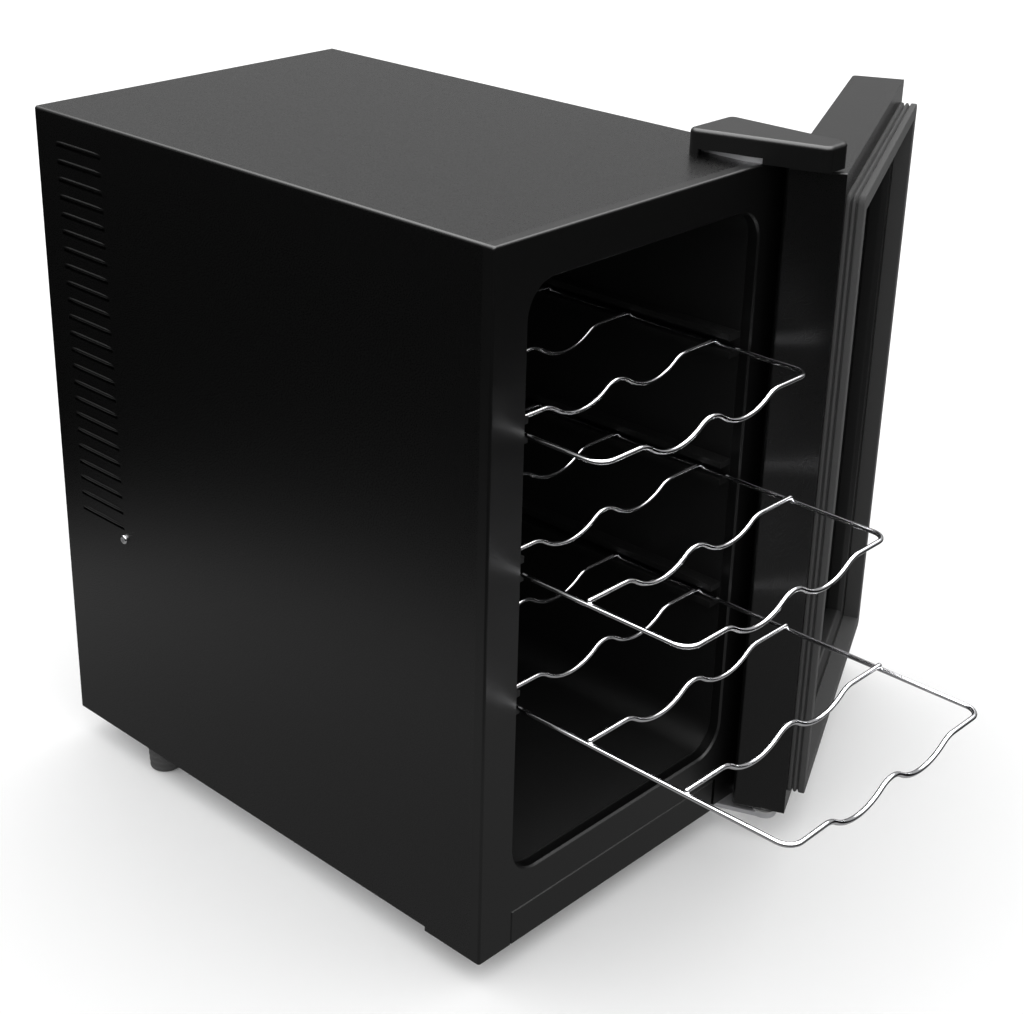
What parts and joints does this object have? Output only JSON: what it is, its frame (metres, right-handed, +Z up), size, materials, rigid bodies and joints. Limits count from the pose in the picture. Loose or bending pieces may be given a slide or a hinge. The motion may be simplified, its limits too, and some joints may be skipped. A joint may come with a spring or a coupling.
{
  "type": "wine cooler",
  "caption": "Countertop wine cooler: black cabinet with side louvres, glazed door swung wide open on pin hinges, and wavy chrome wire racks drawn out in steps.",
  "frame": {"origin": "centre of the cabinet's underside, on the floor plate's pressed pad, 20 mm above what the feet stand on", "axes": "+Z up, -Y out of the cabinet's front, +X towards the hinge side (right seen from the front)"},
  "size_m": [0.4805, 0.5796, 0.472],
  "materials": {
    "shell_paint": "satin black baked paint",
    "frame_black": "fine satin black",
    "liner_black": "satin moulded black",
    "foam": "foamed in place, pale yellow",
    "zinc_sheet": "zinc-plated sheet",
    "rear_black": "matt grained",
    "inlet_black": "smooth",
    "brass_contact": "bright",
    "foot_rubber": "matt",
    "screw_steel": "bright zinc plate",
    "hinge_steel": "bright zinc plate",
    "pin_steel": "turned",
    "cap_black": "fine matt grain",
    "door_black": "high gloss black",
    "door_glass": "dark tinted, polished",
    "spacer_aluminium": "satin",
    "retainer_grey": "satin dark grey",
    "gasket_rubber": "soft matt",
    "bush_nylon": "natural nylon",
    "rack_chrome": "bright chrome-plated wire",
    "grille_black": "satin moulded black",
    "fan_black": "satin",
    "sink_aluminium": "milled",
    "tile_ceramic": "matt white",
    "board_green": "coated",
    "pod_black": "gloss black",
    "display_tint": "tinted",
    "lens_frost": "frosted",
    "button_black": "smooth",
    "sensor_white": "smooth"
  },
  "bodies": {
    "cabinet": {"base_plate": "zinc_sheet", "bulkhead": "zinc_sheet", "cold_air_cover": "grille_black", "cold_fan_frame": "fan_black", "cold_sink": "sink_aluminium", "control_board": "board_green", "control_pod": "pod_black", "control_relay_board": "board_green", "cooling_tile": "tile_ceramic", "display_window": "display_tint", "foam_insulation": "foam", "foot_front_left": "foot_rubber", "foot_front_right": "foot_rubber", "foot_rear_left": "foot_rubber", "foot_rear_right": "foot_rubber", "front_frame": "frame_black", "hot_fan_frame": "fan_black", "hot_sink": "sink_aluminium", "inlet_pins": "brass_contact", "inner_liner": "liner_black", "kick_trim": "frame_black", "lamp_lens": "lens_frost", "lower_hinge_bracket": "hinge_steel", "lower_hinge_pin": "pin_steel", "lower_hinge_screws": "screw_steel", "lower_hinge_washer": "pin_steel", "outer_shell": "shell_paint", "power_inlet": "inlet_black", "power_supply": "board_green", "rear_cover": "rear_black", "rear_screws": "screw_steel", "side_screws": "screw_steel", "sink_standoffs": "bush_nylon", "temperature_sensor": "sensor_white", "top_hinge_bracket": "hinge_steel", "top_hinge_cover": "cap_black", "top_hinge_pin": "pin_steel", "top_hinge_screws": "screw_steel"},
    "door": {"door_outer_frame": "door_black", "door_outer_glass": "door_glass", "glass_spacer": "spacer_aluminium", "door_inner_glass": "door_glass", "door_inner_frame": "retainer_grey", "door_gasket": "gasket_rubber", "door_top_bush": "bush_nylon", "door_bottom_bush": "bush_nylon"},
    "rack_upper_body": {"rack_upper": "rack_chrome"},
    "rack_middle_body": {"rack_middle": "rack_chrome"},
    "rack_lower_body": {"rack_lower": "rack_chrome"},
    "button_up": {"button_up": "button_black"},
    "button_down": {"button_down": "button_black"},
    "button_lamp": {"button_lamp": "button_black"},
    "cold_fan_rotor": {"cold_fan_rotor": "fan_black"},
    "hot_fan_rotor": {"hot_fan_rotor": "fan_black"}
  },
  "joints": [
    {"name": "door_hinge", "type": "hinge", "parent": "cabinet", "child": "door", "pos_m": [0.121, -0.223, 0.2185], "axis": [0, 0, 1], "range_deg": [-205, 0]},
    {"name": "rack_upper_slide", "type": "slide", "parent": "cabinet", "child": "rack_upper_body", "axis": [0, -1, 0], "range_m": [-0.0909, 0]},
    {"name": "rack_middle_slide", "type": "slide", "parent": "cabinet", "child": "rack_middle_body", "axis": [0, -1, 0], "range_m": [-0.1532, 0]},
    {"name": "rack_lower_slide", "type": "slide", "parent": "cabinet", "child": "rack_lower_body", "axis": [0, -1, 0], "range_m": [-0.2251, 0]},
    {"name": "button_up_press", "type": "slide", "parent": "cabinet", "child": "button_up", "axis": [0, 1, 0], "range_m": [0, 0.0008], "stiffness_N_per_m": 300},
    {"name": "button_down_press", "type": "slide", "parent": "cabinet", "child": "button_down", "axis": [0, 1, 0], "range_m": [0, 0.0008], "stiffness_N_per_m": 300},
    {"name": "button_lamp_press", "type": "slide", "parent": "cabinet", "child": "button_lamp", "axis": [0, 1, 0], "range_m": [0, 0.0008], "stiffness_N_per_m": 300},
    {"name": "cold_fan_spin", "type": "hinge", "parent": "cabinet", "child": "cold_fan_rotor", "pos_m": [0, 0.127, 0.25], "axis": [0, 1, 0], "continuous": true},
    {"name": "hot_fan_spin", "type": "hinge", "parent": "cabinet", "child": "hot_fan_rotor", "pos_m": [0, 0.18, 0.25], "axis": [0, 1, 0], "continuous": true}
  ],
  "couplings": [
    {"joint": "rack_upper_slide", "follows": "door_hinge", "m_per_rad": 0.0254},
    {"joint": "rack_middle_slide", "follows": "door_hinge", "m_per_rad": 0.04281},
    {"joint": "rack_lower_slide", "follows": "door_hinge", "m_per_rad": 0.06291}
  ]
}
